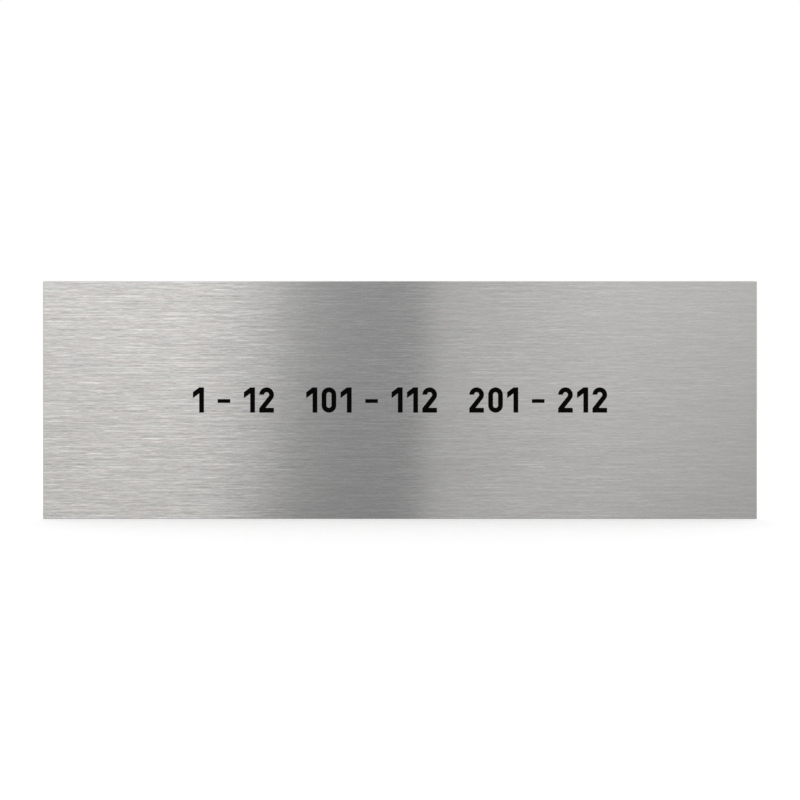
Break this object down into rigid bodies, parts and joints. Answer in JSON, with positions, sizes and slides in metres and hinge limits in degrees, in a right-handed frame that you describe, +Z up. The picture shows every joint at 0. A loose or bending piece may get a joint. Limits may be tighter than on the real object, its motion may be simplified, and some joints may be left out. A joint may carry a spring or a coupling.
{
  "type": "stainless steel sign plate",
  "caption": "Flat rectangular sign plate of brushed stainless steel sheet with square corners and deburred edges, bonded by its back to a wall, door or letter box.",
  "frame": {"origin": "centre of the flat back face, which is bonded to the wall", "axes": "+X along the width, to the right for someone reading the sign; +Y out of the back face, into the wall; +Z up"},
  "size_m": [0.15, 0.0015, 0.05],
  "materials": {
    "brushed_sheet": "brushed along the width, one side; mill finish on the back",
    "printed_numbers": "thin film of matte black ink, on the dressed model only"
  },
  "bodies": {
    "root": {"sign_plate": "brushed_sheet"}
  },
  "joints": []
}
